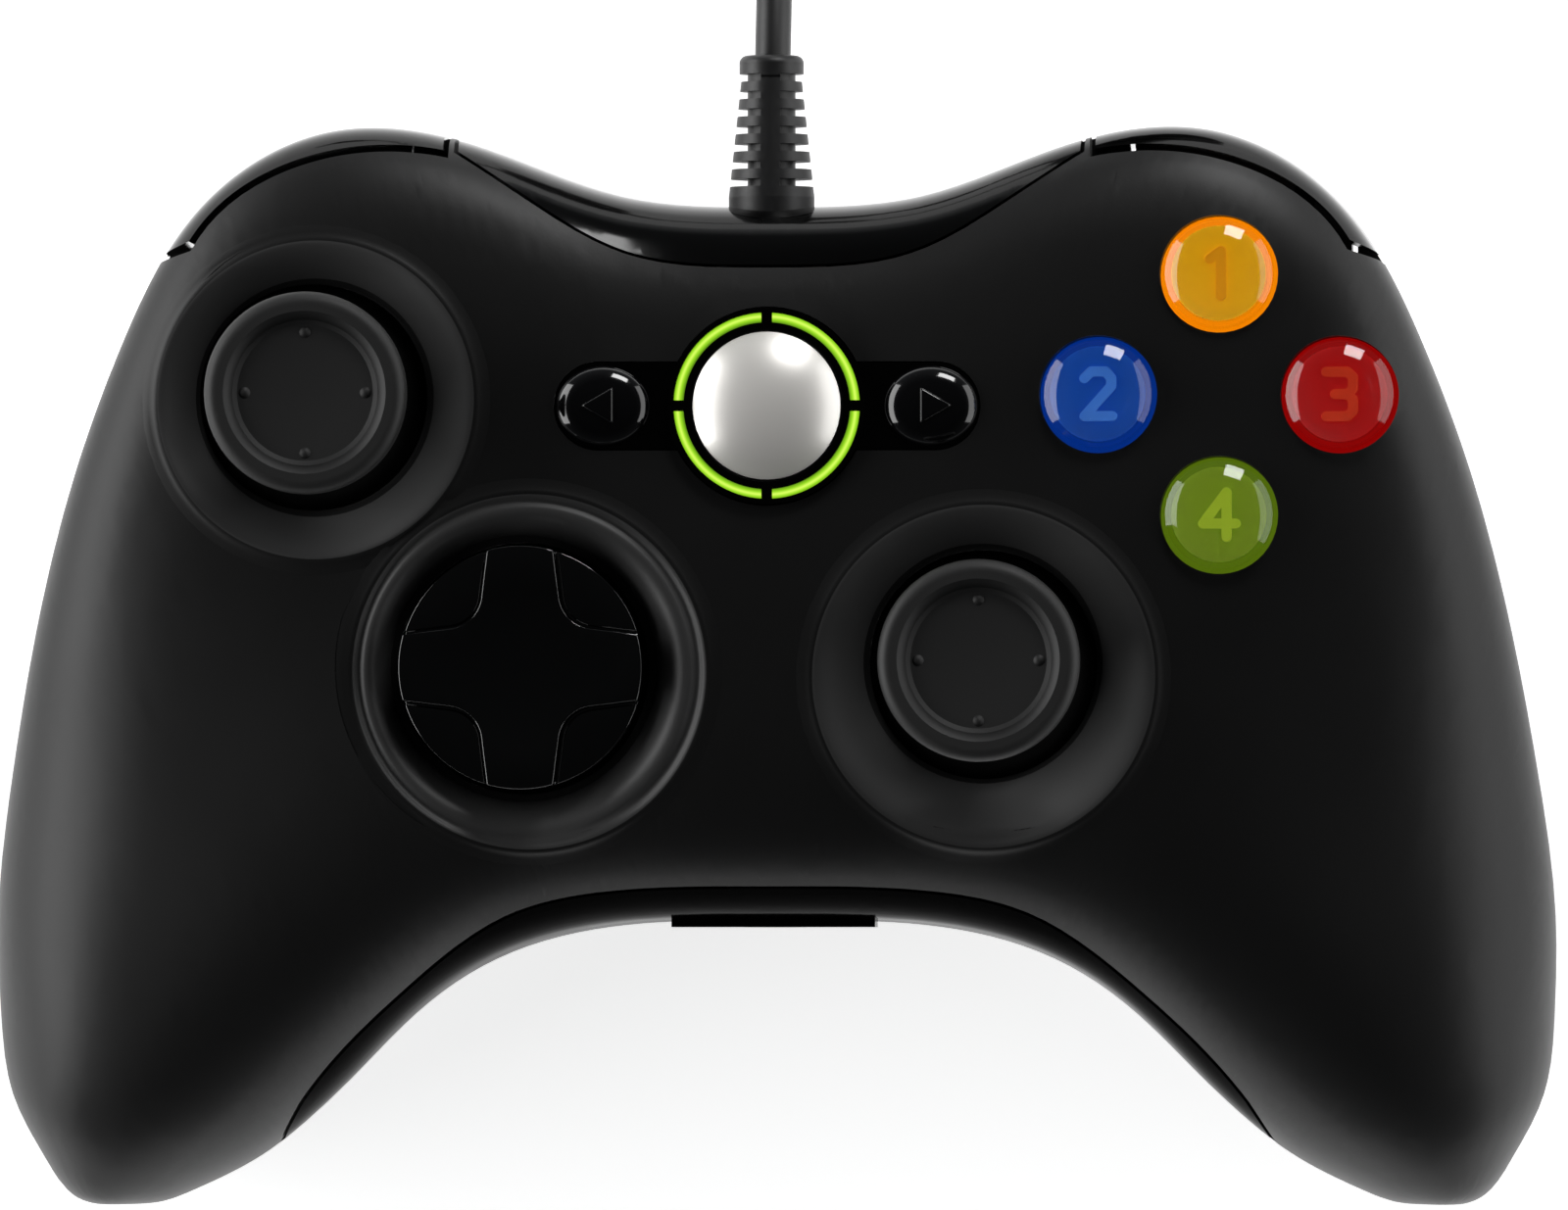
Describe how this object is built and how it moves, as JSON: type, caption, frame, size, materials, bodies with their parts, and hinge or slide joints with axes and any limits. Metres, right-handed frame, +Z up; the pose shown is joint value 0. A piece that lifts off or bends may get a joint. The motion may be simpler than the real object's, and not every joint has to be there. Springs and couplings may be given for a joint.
{
  "type": "gamepad",
  "caption": "Wired two-grip game controller with offset thumbsticks, round direction pad, coloured face buttons, shoulder bumpers and triggers, and a coiled plug cable.",
  "frame": {"origin": "under the middle of the body, on the surface that the pad rests on", "axes": "+X to the player's right along the pad's length, +Y away from the player where the cable leaves, +Z up out of the face with the buttons"},
  "size_m": [0.1588, 0.2335, 0.0555],
  "materials": {
    "shell": "fine grained, nearly black",
    "gloss_black": "polished black",
    "trigger_black": "satin black",
    "screw_steel": "black oxide",
    "light_pipe": "frosted lime, lit from behind",
    "silver_plastic": "pearl silver paint",
    "dark_button": "satin charcoal",
    "lens": "clear moulded plastic",
    "yellow_core": "amber yellow",
    "blue_core": "blue",
    "red_core": "red",
    "green_core": "leaf green",
    "mat_rubber": "soft grey silicone",
    "white_plastic": "natural moulding",
    "steel": "plain",
    "board": "green solder resist on glass laminate",
    "chip": "moulded black",
    "stick_plastic": "smooth black",
    "stick_rubber": "matt, fine grained",
    "cable_rubber": "satin black sheath"
  },
  "bodies": {
    "shell_and_board": {"front_shell": "shell", "rear_shell": "shell", "back_trim": "gloss_black", "lower_trim": "gloss_black", "shell_screws": "screw_steel", "centre_panel": "gloss_black", "light_ring": "light_pipe", "face_button_mat": "mat_rubber", "centre_mat": "mat_rubber", "dpad_mat": "mat_rubber", "trigger_sensors": "white_plastic", "bumper_switches": "white_plastic", "stick_sensors": "white_plastic", "stick_switches": "white_plastic", "left_stick_frame": "steel", "right_stick_frame": "steel", "left_motor": "steel", "right_motor": "steel", "main_board": "board", "board_parts": "chip", "headset_socket": "dark_button", "strain_relief": "cable_rubber", "cable_lead": "cable_rubber", "cable_coil": "cable_rubber", "cable_tail": "cable_rubber", "plug_body": "cable_rubber", "plug_shell": "steel"},
    "left_stick_ring": {"left_stick_ring": "white_plastic"},
    "left_stick_ball": {"left_stick_ball": "white_plastic"},
    "left_stick": {"left_stick_shaft": "stick_plastic", "left_stick_cap": "stick_rubber"},
    "left_stick_arch": {"left_stick_arch": "white_plastic"},
    "right_stick_ring": {"right_stick_ring": "white_plastic"},
    "right_stick_ball": {"right_stick_ball": "white_plastic"},
    "right_stick": {"right_stick_shaft": "stick_plastic", "right_stick_cap": "stick_rubber"},
    "right_stick_arch": {"right_stick_arch": "white_plastic"},
    "dpad_rocker": {"dpad_rocker": "white_plastic"},
    "dpad": {"dpad": "gloss_black"},
    "top_button": {"top_button": "lens", "top_core": "yellow_core"},
    "left_button": {"left_button": "lens", "left_core": "blue_core"},
    "right_button": {"right_button": "lens", "right_core": "red_core"},
    "bottom_button": {"bottom_button": "lens", "bottom_core": "green_core"},
    "back_button": {"back_button": "dark_button"},
    "start_button": {"start_button": "dark_button"},
    "guide_button": {"guide_button": "silver_plastic"},
    "left_bumper": {"left_bumper": "gloss_black"},
    "left_trigger": {"left_trigger": "trigger_black", "left_trigger_pin": "steel", "left_trigger_spring": "steel"},
    "left_motor_weight": {"left_motor_weight": "steel"},
    "right_bumper": {"right_bumper": "gloss_black"},
    "right_trigger": {"right_trigger": "trigger_black", "right_trigger_pin": "steel", "right_trigger_spring": "steel"},
    "right_motor_weight": {"right_motor_weight": "steel"}
  },
  "joints": [
    {"name": "left_stick_up_down", "type": "hinge", "parent": "shell_and_board", "child": "left_stick_ring", "pos_m": [-0.0444, 0.0254, 0.031], "axis": [1, 0, 0], "range_deg": [-18, 18], "stiffness_Nm_per_rad": 0.02},
    {"name": "left_stick_left_right", "type": "hinge", "parent": "left_stick_ring", "child": "left_stick_ball", "pos_m": [-0.0444, 0.0254, 0.031], "axis": [0, 1, 0], "range_deg": [-18, 18], "stiffness_Nm_per_rad": 0.02},
    {"name": "left_stick_click", "type": "slide", "parent": "left_stick_ball", "child": "left_stick", "axis": [0, 0, -1], "range_m": [0, 0.0005], "stiffness_N_per_m": 1500, "springref_m": -0.001},
    {"name": "left_stick_arch_swing", "type": "hinge", "parent": "shell_and_board", "child": "left_stick_arch", "pos_m": [-0.0444, 0.0254, 0.031], "axis": [0, 1, 0], "range_deg": [-18, 18]},
    {"name": "right_stick_up_down", "type": "hinge", "parent": "shell_and_board", "child": "right_stick_ring", "pos_m": [0.0209, -0.0006, 0.031], "axis": [1, 0, 0], "range_deg": [-18, 18], "stiffness_Nm_per_rad": 0.02},
    {"name": "right_stick_left_right", "type": "hinge", "parent": "right_stick_ring", "child": "right_stick_ball", "pos_m": [0.0209, -0.0006, 0.031], "axis": [0, 1, 0], "range_deg": [-18, 18], "stiffness_Nm_per_rad": 0.02},
    {"name": "right_stick_click", "type": "slide", "parent": "right_stick_ball", "child": "right_stick", "axis": [0, 0, -1], "range_m": [0, 0.0005], "stiffness_N_per_m": 1500, "springref_m": -0.001},
    {"name": "right_stick_arch_swing", "type": "hinge", "parent": "shell_and_board", "child": "right_stick_arch", "pos_m": [0.0209, -0.0006, 0.031], "axis": [0, 1, 0], "range_deg": [-18, 18]},
    {"name": "dpad_up_down", "type": "hinge", "parent": "shell_and_board", "child": "dpad_rocker", "pos_m": [-0.024, -0.0011, 0.0365], "axis": [1, 0, 0], "range_deg": [-4, 4], "stiffness_Nm_per_rad": 0.6},
    {"name": "dpad_left_right", "type": "hinge", "parent": "dpad_rocker", "child": "dpad", "pos_m": [-0.024, -0.0011, 0.0365], "axis": [0, 1, 0], "range_deg": [-4, 4], "stiffness_Nm_per_rad": 0.6},
    {"name": "top_button_press", "type": "slide", "parent": "shell_and_board", "child": "top_button", "axis": [0, 0, -1], "range_m": [0, 0.0018], "stiffness_N_per_m": 400, "springref_m": -0.0008, "deforming": ["face_button_mat"]},
    {"name": "left_button_press", "type": "slide", "parent": "shell_and_board", "child": "left_button", "axis": [0, 0, -1], "range_m": [0, 0.0018], "stiffness_N_per_m": 400, "springref_m": -0.0008, "deforming": ["face_button_mat"]},
    {"name": "right_button_press", "type": "slide", "parent": "shell_and_board", "child": "right_button", "axis": [0, 0, -1], "range_m": [0, 0.0018], "stiffness_N_per_m": 400, "springref_m": -0.0008, "deforming": ["face_button_mat"]},
    {"name": "bottom_button_press", "type": "slide", "parent": "shell_and_board", "child": "bottom_button", "axis": [0, 0, -1], "range_m": [0, 0.0018], "stiffness_N_per_m": 400, "springref_m": -0.0008, "deforming": ["face_button_mat"]},
    {"name": "back_button_press", "type": "slide", "parent": "shell_and_board", "child": "back_button", "axis": [0, 0, -1], "range_m": [0, 0.0008], "stiffness_N_per_m": 800, "springref_m": -0.0008, "deforming": ["centre_mat"]},
    {"name": "start_button_press", "type": "slide", "parent": "shell_and_board", "child": "start_button", "axis": [0, 0, -1], "range_m": [0, 0.0008], "stiffness_N_per_m": 800, "springref_m": -0.0008, "deforming": ["centre_mat"]},
    {"name": "guide_button_press", "type": "slide", "parent": "shell_and_board", "child": "guide_button", "axis": [0, 0, -1], "range_m": [0, 0.0006], "stiffness_N_per_m": 800, "springref_m": -0.0008, "deforming": ["centre_mat"]},
    {"name": "left_bumper_press", "type": "hinge", "parent": "shell_and_board", "child": "left_bumper", "pos_m": [-0.0338, 0.0479, 0.03], "axis": [0, 0, 1], "range_deg": [0, 1.2], "stiffness_Nm_per_rad": 3, "springref_deg": -1.72},
    {"name": "left_trigger_pull", "type": "hinge", "parent": "shell_and_board", "child": "left_trigger", "pos_m": [-0.0462, 0.032, 0.0205], "axis": [-1, 0, 0], "range_deg": [0, 15], "stiffness_Nm_per_rad": 0.12, "springref_deg": -22.92},
    {"name": "left_motor_spin", "type": "hinge", "parent": "shell_and_board", "child": "left_motor_weight", "pos_m": [-0.058, -0.024, 0.02], "axis": [0, 0, 1], "continuous": true},
    {"name": "right_bumper_press", "type": "hinge", "parent": "shell_and_board", "child": "right_bumper", "pos_m": [0.0338, 0.0479, 0.03], "axis": [0, 0, -1], "range_deg": [0, 1.2], "stiffness_Nm_per_rad": 3, "springref_deg": -1.72},
    {"name": "right_trigger_pull", "type": "hinge", "parent": "shell_and_board", "child": "right_trigger", "pos_m": [0.0462, 0.032, 0.0205], "axis": [-1, 0, 0], "range_deg": [0, 15], "stiffness_Nm_per_rad": 0.12, "springref_deg": -22.92},
    {"name": "right_motor_spin", "type": "hinge", "parent": "shell_and_board", "child": "right_motor_weight", "pos_m": [0.058, -0.024, 0.02], "axis": [0, 0, 1], "continuous": true}
  ],
  "couplings": [
    {"joint": "left_stick_arch_swing", "follows": "left_stick_left_right", "ratio": 1},
    {"joint": "right_stick_arch_swing", "follows": "right_stick_left_right", "ratio": 1}
  ]
}
